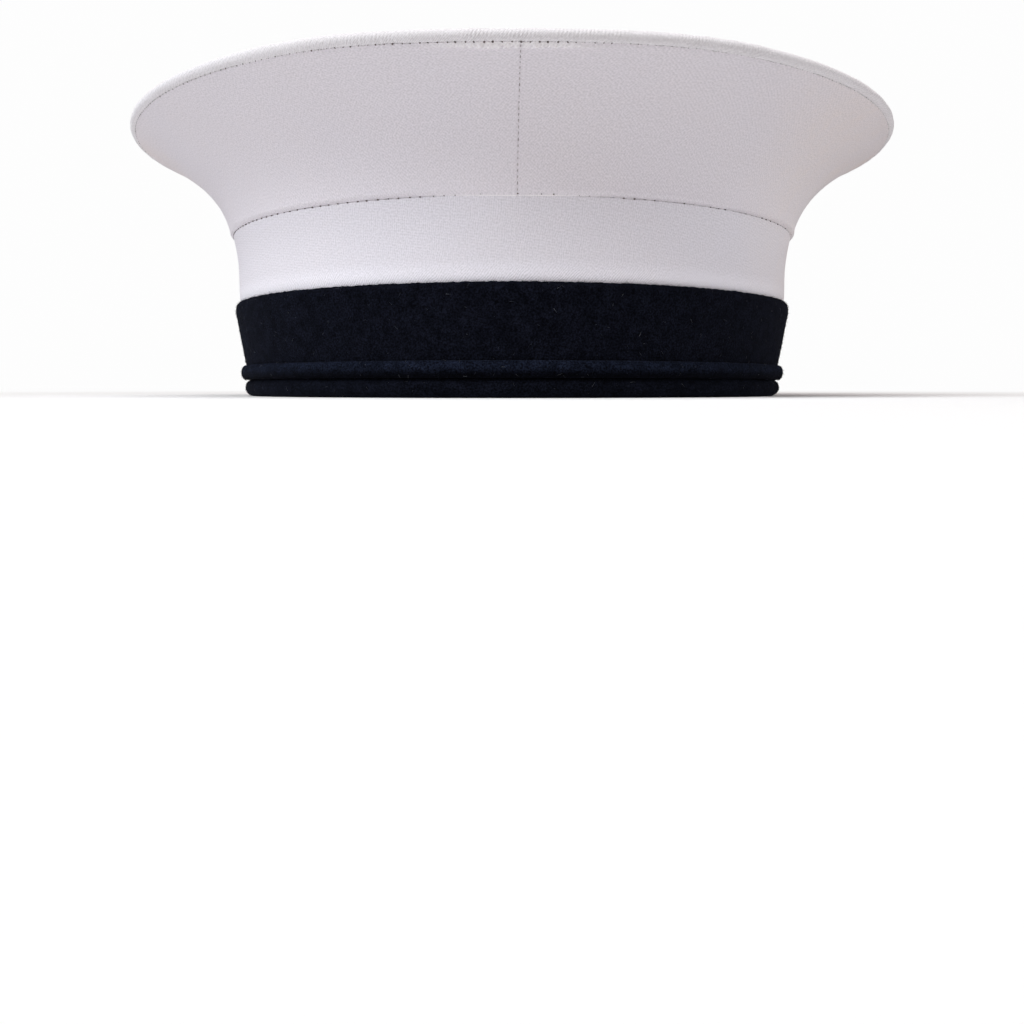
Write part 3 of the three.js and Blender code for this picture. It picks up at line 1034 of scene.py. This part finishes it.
def make_hem(context):
    """The rolled lower edge and the wool that it turns up inside."""
    scene = context.scene
    crown, band, folds = scene.cap_crown, scene.cap_band, scene.cap_relief
    centre = np.array([HEM_HALF_WIDTH - band.hem_roll, band.hem_height / 2])
    outer_roll = arc(centre, band.hem_roll + band.hem_swell, band.hem_height / 2, -90, 90, 18)

    def stand_back(height):
        return stand_face(height, crown, band) - crown.drill - crown.gap

    floor, top = band.hem_floor, HEM_BOX[1].z
    corners = [
        outer_roll[-1],
        [stand_face(band.hem_height, crown, band) + crown.gap, band.hem_height],
        [stand_face(floor, crown, band) + crown.gap, floor],
        [stand_back(floor), floor],
        [stand_back(top), top],
        [stand_back(top) - band.facing, top],
        [stand_back(floor) - band.facing, floor],
        [centre[0] - band.rest_width, 0.0],
    ]
    section = np.vstack([outer_roll, corners[1:]])
    turns = turns_round((math.pi, 512))
    rough = partial(uneven, turns, lengths_along(section))
    shown = np.zeros(len(section))
    shown[: len(outer_roll) - 1] = smooth_step(0.4 * MM, 1.6 * MM, outer_roll[:-1, 1])
    lumps = folds.wool_lump * rough(cells_round=230, cell_along=2.4 * MM, seed=81)
    lumps = lumps + folds.hem_wave * rough(cells_round=38, cell_along=9 * MM, seed=82)
    material = wool_material("navy_wool_hem", scene.cap_finish.wool)
    ring = turned_ring("wool_hem", section, turns, lumps * shown[:, None], material)
    piece = own(ring, "band_hem")
    set_nap(piece, len(turns), shown)
    return piece


def stitch_tree():
    """Stitches or dark beads of painted needle-hole shade: one on each point of a path, laid along it."""
    inputs = {
        "Path": ("NodeSocketGeometry", None),
        "Length": ("NodeSocketFloat", 1.0 * MM),
        "Width": ("NodeSocketFloat", 0.35 * MM),
        "Height": ("NodeSocketFloat", 0.35 * MM),
        "Unevenness": ("NodeSocketFloat", 0.2),
        "Seed": ("NodeSocketInt", 1),
        "Material": ("NodeSocketMaterial", None),
    }
    outputs = {"Stitches": "NodeSocketGeometry"}
    tree, given, leave = new_group("stitch_row", "GeometryNodeTree", inputs, outputs)
    path = add(tree, "GeometryNodeMeshToCurve", {"Mesh": given["Path"]}).outputs["Curve"]
    bead = add(tree, "GeometryNodeMeshUVSphere", {"Segments": 8, "Rings": 5, "Radius": 0.5}).outputs["Mesh"]
    sides = {0: given["Length"], 1: given["Width"], 2: given["Height"]}
    size = add(tree, "ShaderNodeCombineXYZ", sides).outputs[0]
    shaped = add(tree, "GeometryNodeTransform", {"Geometry": bead, "Scale": size}).outputs["Geometry"]
    along = add(tree, "GeometryNodeInputTangent", {}).outputs["Tangent"]
    place = add(tree, "GeometryNodeInputPosition", {}).outputs["Position"]
    out = vector_calc(tree, "MULTIPLY", place, (1.0, 1.0, 0.0))
    axes = {"Primary Axis": along, "Secondary Axis": out}
    laid = add(tree, "FunctionNodeAxesToRotation", axes, primary_axis="X", secondary_axis="Z").outputs[0]
    low = calc(tree, "SUBTRACT", 1.0, given["Unevenness"])
    high = calc(tree, "ADD", 1.0, given["Unevenness"])
    limits = {2: low, 3: high, "Seed": given["Seed"]}
    drawn = add(tree, "FunctionNodeRandomValue", limits, data_type="FLOAT").outputs[1]
    pulled = add(tree, "GeometryNodeInputNamedAttribute", {"Name": STITCH_DRAW}, data_type="FLOAT").outputs[0]
    scale = calc(tree, "MULTIPLY", drawn, pulled)
    placed = {"Points": path, "Instance": shaped, "Rotation": laid, "Scale": scale}
    row = add(tree, "GeometryNodeInstanceOnPoints", placed).outputs["Instances"]
    real = add(tree, "GeometryNodeRealizeInstances", {"Geometry": row}).outputs["Geometry"]
    covered = {"Geometry": real, "Material": given["Material"]}
    done = add(tree, "GeometryNodeSetMaterial", covered).outputs["Geometry"]
    fill(tree, leave, {"Stitches": done})
    return tree


def nap_tree():
    """Short bent fibres that lie over a wool surface where its nap weight says."""
    inputs = {
        "Wool": ("NodeSocketGeometry", None),
        "Density": ("NodeSocketFloat", 800000.0),
        "Length": ("NodeSocketFloat", 1.2 * MM),
        "Width": ("NodeSocketFloat", 0.04 * MM),
        "Lie": ("NodeSocketFloat", math.radians(66)),
        "Seed": ("NodeSocketInt", 1),
        "Material": ("NodeSocketMaterial", None),
    }
    bow_share, lie_spread, shortest, longest = 0.45, 0.4, 0.5, 1.3
    tree, given, leave = new_group("wool_nap", "GeometryNodeTree", inputs, {"Fibres": "NodeSocketGeometry"})
    weight = add(tree, "GeometryNodeInputNamedAttribute", {"Name": NAP_WEIGHT}, data_type="FLOAT").outputs[0]
    density = calc(tree, "MULTIPLY", weight, given["Density"])
    spread = {"Mesh": given["Wool"], "Density": density, "Seed": given["Seed"]}
    roots = add(tree, "GeometryNodeDistributePointsOnFaces", spread)
    cone = {
        "Vertices": 3, "Side Segments": 2, "Radius Top": 0.0,
        "Radius Bottom": given["Width"], "Depth": given["Length"],
    }
    fibre = add(tree, "GeometryNodeMeshCone", cone).outputs["Mesh"]
    place = add(tree, "GeometryNodeInputPosition", {}).outputs["Position"]
    up = add(tree, "ShaderNodeSeparateXYZ", {0: place}).outputs["Z"]
    bowed = calc(tree, "DIVIDE", calc(tree, "MULTIPLY", up, up), given["Length"])
    bow = calc(tree, "MULTIPLY", bowed, -bow_share)
    bend = add(tree, "ShaderNodeCombineXYZ", {1: bow}).outputs[0]
    bent = add(tree, "GeometryNodeSetPosition", {"Geometry": fibre, "Offset": bend}).outputs["Geometry"]

    def drawn(low, high, step):
        seed = add(tree, "FunctionNodeIntegerMath", {0: given["Seed"], 1: step}, operation="ADD").outputs[0]
        limits = {2: low, 3: high, "Seed": seed}
        return add(tree, "FunctionNodeRandomValue", limits, data_type="FLOAT").outputs[1]

    lean = calc(tree, "ADD", given["Lie"], drawn(-lie_spread, lie_spread, 1))
    turned = add(tree, "ShaderNodeCombineXYZ", {0: lean, 2: drawn(0.0, TURN, 2)}).outputs[0]
    turned = add(tree, "FunctionNodeEulerToRotation", {0: turned}).outputs[0]
    values = {"Rotation": roots.outputs["Rotation"], "Rotate By": turned}
    laid = add(tree, "FunctionNodeRotateRotation", values, rotation_space="LOCAL").outputs[0]
    placed = {
        "Points": roots.outputs["Points"], "Instance": bent,
        "Rotation": laid, "Scale": drawn(shortest, longest, 3),
    }
    fibres = add(tree, "GeometryNodeInstanceOnPoints", placed).outputs["Instances"]
    shade = {"Geometry": fibres, "Name": FIBRE_SHADE, "Value": drawn(0.0, 1.0, 4)}
    store = add(tree, "GeometryNodeStoreNamedAttribute", shade, data_type="FLOAT", domain="INSTANCE")
    shaded = store.outputs[0]
    real = add(tree, "GeometryNodeRealizeInstances", {"Geometry": shaded}).outputs["Geometry"]
    parts = add(tree, "ShaderNodeSeparateXYZ", {0: place}).outputs
    raised = calc(tree, "MAXIMUM", parts["Z"], 0.0)
    kept = add(tree, "ShaderNodeCombineXYZ", {0: parts["X"], 1: parts["Y"], 2: raised}).outputs[0]
    real = add(tree, "GeometryNodeSetPosition", {"Geometry": real, "Position": kept}).outputs["Geometry"]
    covered = {"Geometry": real, "Material": given["Material"]}
    done = add(tree, "GeometryNodeSetMaterial", covered).outputs["Geometry"]
    fill(tree, leave, {"Fibres": done})
    return tree


def grown(name, base, tree, values):
    """A plain mesh of what a node tree makes on a base mesh."""
    host = bpy.data.objects.new(name, base)
    bpy.context.scene.collection.objects.link(host)
    modifier = host.modifiers.new("nodes", "NODES")
    modifier.node_group = tree
    for socket in tree.interface.items_tree:
        if socket.in_out == "INPUT" and socket.name in values:
            modifier[socket.identifier] = values[socket.name]
    bpy.context.view_layer.update()
    seen = host.evaluated_get(bpy.context.evaluated_depsgraph_get())
    made = bpy.data.meshes.new_from_object(seen)
    if not made.polygons:
        raise RuntimeError(f"{name} came out empty")
    host.modifiers.remove(modifier)
    host.data = made
    made.shade_smooth()
    return own(host, None)


def path_mesh(name, places, closed, draw):
    """A path with a stitch, or a bead of painted shade, on each point. One with a smaller draw value is
    smaller.
    """
    mesh = bpy.data.meshes.new(name)
    count = len(places)
    edges = [(i, (i + 1) % count) for i in range(count if closed else count - 1)]
    mesh.from_pydata(places, edges, [])
    values = mesh.attributes.new(STITCH_DRAW, "FLOAT", "POINT")
    values.data.foreach_set("value", np.asarray(draw, np.float32))
    return mesh


def ring_path(row, crown, seed):
    """A path of points round the cap for a row of stitches, each a little off the line."""
    stray_round, stray_up = 0.09, 0.05 * MM
    half_width, height, ridge = row.place
    strays = np.random.default_rng(seed).uniform(-1, 1, (2, row.count))
    turns = (np.arange(row.count) + row.phase + stray_round * strays[0]) * TURN / row.count
    half_widths = half_width + ridge * back_ridge(half_width * from_seam(turns), crown)
    places = on_oval(half_widths, turns, height + stray_up * strays[1])
    return path_mesh(row.name, places, True, row.draw(from_seam(turns)))


def rim_hole_shade_size(turn):
    """Size of the painted shade beads at the rim's needle holes: largest beside the back seam, smallest on
    the right.
    """
    least, more_left, more_back = 0.42, 0.22, 0.42
    return least + more_left * smooth_step(0.35, -0.2, turn) + more_back * hump(turn, -0.03, 0.2)


def seam_hole_shade_size(turn):
    """Size of the painted shade beads at the needle holes above the stand: full on the left, about half of
    them smaller on the right.
    """
    shrunk_share, shrink = 0.55, 0.7
    drawn = np.random.default_rng(17).uniform(0, 1, turn.shape)
    shrunk = smooth_step(0.05, 0.35, turn) * (drawn > 1 - shrunk_share)
    return 1.0 - shrink * shrunk


def back_seam_path(scene):
    """A path up the back seam, on the cloth."""
    line = side_line(scene.cap_crown)
    rows_up, outer = side_rows(scene.cap_crown)
    relief = side_relief(scene, np.zeros(1), rows_up, outer[:, 0])[:, 0]
    places = np.arange(1.2 * MM, rows_up[-1] - 0.6 * MM, scene.cap_stitch.back_pitch)
    seat = points_along(line, places)
    seat = seat + outward(seat) * np.interp(places, rows_up, relief)[:, None]
    sewn = on_oval(seat[:, 0], np.zeros(len(seat)), seat[:, 1])
    return path_mesh("back_seam_holes", sewn, False, np.ones(len(seat)))


def make_stitches(context):
    """Threads under the rim and above the stand, and dark beads of painted shade at the needle holes there
    and in the back seam.
    """
    scene = context.scene
    crown, stitch, finish = scene.cap_crown, scene.cap_stitch, scene.cap_finish
    tree = stitch_tree()
    thread = thread_material("white_thread", finish.thread, roughness=0.7)
    # Needle holes: dark beads of painted shade where the stitches dip.
    hole = thread_material("needle_hole", finish.hole, roughness=1.0)
    shade = thread_material("seam_shade", finish.seam, roughness=1.0)
    rim_end = side_line(crown)[-1]
    seam_height = SIDE_BOX[0].z - 0.24 * MM
    # A line's half-width, its height and its share of the back ridge
    rim = (rim_end[0] - 0.02 * MM, rim_end[1] + 0.08 * MM, 0.0)
    seam = (crown.stand_top - 0.05 * MM, seam_height, 1.0)
    core = (crown.stand_top - 0.24 * MM, seam_height, 1.0)
    rim_count = repeats_round(SIDE_BOX[1].x, stitch.rim_pitch)
    seam_count = repeats_round(crown.flare_foot, stitch.seam_pitch)
    rows = [
        StitchRow(
            "rim_needle_holes", rim, rim_count, phase=0.0, draw=rim_hole_shade_size,
            length=stitch.hole, thickness=stitch.hole, material=hole, unevenness=0.35,
        ),
        StitchRow(
            "rim_stitches", rim, rim_count, phase=0.5, draw=np.ones_like,
            length=0.8 * stitch.rim_pitch, thickness=0.8 * stitch.thread, material=thread, unevenness=0.1,
        ),
        StitchRow(
            "seam_needle_holes", seam, seam_count, phase=0.0, draw=seam_hole_shade_size,
            length=stitch.hole, thickness=0.85 * stitch.hole, material=hole, unevenness=0.3,
        ),
        StitchRow(
            "seam_stitches", core, seam_count, phase=0.5, draw=np.ones_like,
            length=0.96 * stitch.seam_pitch, thickness=stitch.thread, material=thread, unevenness=0.1,
        ),
    ]
    path_seed = stitch.seed + 10
    for offset, row in enumerate(rows):
        values = {
            "Length": row.length, "Width": row.thickness, "Height": row.thickness,
            "Unevenness": row.unevenness, "Seed": stitch.seed + offset, "Material": row.material,
        }
        grown(row.name, ring_path(row, crown, path_seed + offset), tree, values)
    # Painted shade: dark dashes between the back seam's stitches.
    values = {
        "Length": 0.52 * stitch.back_pitch, "Width": 0.28 * MM, "Height": 0.3 * MM, "Unevenness": 0.25,
        "Seed": stitch.seed + len(rows), "Material": shade,
    }
    grown("back_seam_holes", back_seam_path(scene), tree, values)


def make_nap(context):
    """Fibres on the three wool pieces."""
    nap = context.scene.cap_nap
    tree, material = nap_tree(), fibre_material()
    for offset, wool in enumerate(("wool_band", "wool_piping", "wool_hem")):
        values = {
            "Density": nap.density, "Length": nap.fibre, "Width": nap.width, "Lie": nap.lie,
            "Seed": nap.seed + 10 * offset, "Material": material,
        }
        grown(wool + "_nap", bpy.data.objects[wool].data.copy(), tree, values)


def area_light(name, stage):
    """A round soft light that points at the cap."""
    light = bpy.data.lights.new(f"{name}_light", "AREA")
    light.shape = "DISK"
    light.size = stage.light_size
    light.energy = getattr(stage, name)
    light.color = getattr(stage, f"{name}_tint")[:3]
    lamp = bpy.data.objects.new(f"{name}_light", light)
    bpy.context.scene.collection.objects.link(lamp)
    lamp.location = getattr(stage, f"{name}_place")
    lamp.rotation_euler = (Vector((0, 0, stage.aim)) - lamp.location).to_track_quat("-Z", "Y").to_euler()


def make_floor(stage, finish):
    """A pale floor that fades into plain white away from the cap."""
    half = stage.floor_half
    corners = [(-half, -half, 0), (half, -half, 0), (half, half, 0), (-half, half, 0)]
    material, tree, shader = new_material("stage_floor", roughness=0.9, specular=0.0)
    place = add(tree, "ShaderNodeTexCoord", {}).outputs["Object"]
    reach = add(tree, "ShaderNodeVectorMath", {0: place}, operation="LENGTH").outputs["Value"]
    faded = ranged(tree, reach, stage.fade_start, stage.fade_end)
    backdrop = (BACKDROP, BACKDROP, BACKDROP, 1)
    tree.links.new(mixed_colour(tree, faded, finish.floor, BLACK), shader.inputs["Base Color"])
    seen = add(tree, "ShaderNodeLightPath", {}).outputs["Is Camera Ray"]
    glow = calc(tree, "MULTIPLY", faded, seen)
    tree.links.new(mixed_colour(tree, glow, BLACK, backdrop), shader.inputs["Emission Color"])
    shader.inputs["Emission Strength"].default_value = 1.0
    link_mesh("stage_floor", corners, [(0, 1, 2, 3)], material)


def make_sky(stage):
    """Even light from all round; the camera sees it as plain white."""
    world = bpy.data.worlds.new("studio")
    bpy.context.scene.world = world
    world.use_nodes = True
    tree = world.node_tree
    background = tree.nodes["Background"]
    seen = add(tree, "ShaderNodeLightPath", {}).outputs["Is Camera Ray"]
    tree.links.new(mixed_colour(tree, seen, stage.sky_tint, WHITE), background.inputs["Color"])
    strength = calc(tree, "MULTIPLY_ADD", seen, BACKDROP - stage.sky, stage.sky)
    tree.links.new(strength, background.inputs["Strength"])


def make_camera(stage):
    """The camera behind the cap, just over the floor."""
    camera = bpy.data.cameras.new("camera")
    camera.sensor_width, camera.lens = 36, stage.lens
    camera.clip_start, camera.clip_end = 0.001, 100
    view = bpy.data.objects.new("camera", camera)
    bpy.context.scene.collection.objects.link(view)
    view.location = (0, -stage.distance, stage.height)
    view.rotation_euler = (math.pi / 2 + stage.pitch, 0, 0)
    bpy.context.scene.camera = view


def make_stage(context):
    """Pale floor, soft light from the upper left and the camera behind the cap."""
    stage = context.scene.cap_stage
    make_floor(stage, context.scene.cap_finish)
    make_sky(stage)
    make_camera(stage)
    for light in LIGHTS:
        area_light(light, stage)
    context.scene.view_settings.view_transform = "Standard"


class CAP_OT_top(bpy.types.Operator):
    """Make the flat top of the crown"""

    bl_idname = "cap.top"
    bl_label = "Flat Top"

    def execute(self, context):
        make_top(context)
        return {"FINISHED"}


class CAP_OT_welt(bpy.types.Operator):
    """Make the rolled rim"""

    bl_idname = "cap.welt"
    bl_label = "Rolled Rim"

    def execute(self, context):
        make_welt(context)
        return {"FINISHED"}


class CAP_OT_side(bpy.types.Operator):
    """Make the flared side with its back seam"""

    bl_idname = "cap.side"
    bl_label = "Flared Side"

    def execute(self, context):
        make_side(context)
        return {"FINISHED"}


class CAP_OT_stand(bpy.types.Operator):
    """Make the white stand"""

    bl_idname = "cap.stand"
    bl_label = "White Stand"

    def execute(self, context):
        make_stand(context)
        return {"FINISHED"}


class CAP_OT_band(bpy.types.Operator):
    """Make the wool band"""

    bl_idname = "cap.band"
    bl_label = "Wool Band"

    def execute(self, context):
        make_band(context)
        return {"FINISHED"}


class CAP_OT_piping(bpy.types.Operator):
    """Make the piping on the band's foot"""

    bl_idname = "cap.piping"
    bl_label = "Piping"

    def execute(self, context):
        make_piping(context)
        return {"FINISHED"}


class CAP_OT_hem(bpy.types.Operator):
    """Make the rolled hem"""

    bl_idname = "cap.hem"
    bl_label = "Hem"

    def execute(self, context):
        make_hem(context)
        return {"FINISHED"}


class CAP_OT_stitches(bpy.types.Operator):
    """Make the threads and needle holes"""

    bl_idname = "cap.stitches"
    bl_label = "Stitches"

    def execute(self, context):
        make_stitches(context)
        return {"FINISHED"}


class CAP_OT_nap(bpy.types.Operator):
    """Grow the nap of the wool"""

    bl_idname = "cap.nap"
    bl_label = "Nap"

    def execute(self, context):
        make_nap(context)
        return {"FINISHED"}


class CAP_OT_cloths(bpy.types.Operator):
    bl_idname = "cap.cloths"
    bl_label = "Declare Cloths"

    def execute(self, context):
        return {"FINISHED"}


class CAP_OT_stage(bpy.types.Operator):
    """Make the floor, the lights and the camera"""

    bl_idname = "cap.stage"
    bl_label = "Stage"

    def execute(self, context):
        make_stage(context)
        return {"FINISHED"}


STEPS = (
    CAP_OT_top, CAP_OT_welt, CAP_OT_side, CAP_OT_stand, CAP_OT_band, CAP_OT_piping, CAP_OT_hem,
    CAP_OT_stitches, CAP_OT_nap, CAP_OT_cloths, CAP_OT_stage,
)
SETTINGS = {
    "cap_crown": CrownSizes,
    "cap_band": BandSizes,
    "cap_relief": ReliefSizes,
    "cap_stitch": StitchSizes,
    "cap_nap": NapSizes,
    "cap_finish": FinishColours,
    "cap_stage": StageSizes,
}


class CAP_PT_panel(bpy.types.Panel):
    """Lists the cap's steps and sizes"""

    bl_idname = "CAP_PT_panel"
    bl_label = "Sailor Cap"
    bl_space_type = "VIEW_3D"
    bl_region_type = "UI"
    bl_category = "Cap"

    def draw(self, context):
        for step in STEPS:
            self.layout.operator(step.bl_idname)
        for name, group in SETTINGS.items():
            box = self.layout.box()
            for field in group.__annotations__:
                box.prop(getattr(context.scene, name), field)


def register():
    for group in SETTINGS.values():
        bpy.utils.register_class(group)
    for step in STEPS:
        bpy.utils.register_class(step)
    bpy.utils.register_class(CAP_PT_panel)
    for name, group in SETTINGS.items():
        setattr(bpy.types.Scene, name, PointerProperty(type=group))


def unregister():
    for name in SETTINGS:
        delattr(bpy.types.Scene, name)
    bpy.utils.unregister_class(CAP_PT_panel)
    for step in reversed(STEPS):
        bpy.utils.unregister_class(step)
    for group in reversed(SETTINGS.values()):
        bpy.utils.unregister_class(group)


def main():
    register()
    for step in STEPS:
        group, name = step.bl_idname.split(".")
        getattr(getattr(bpy.ops, group), name)()


if __name__ == "__main__":
    main()
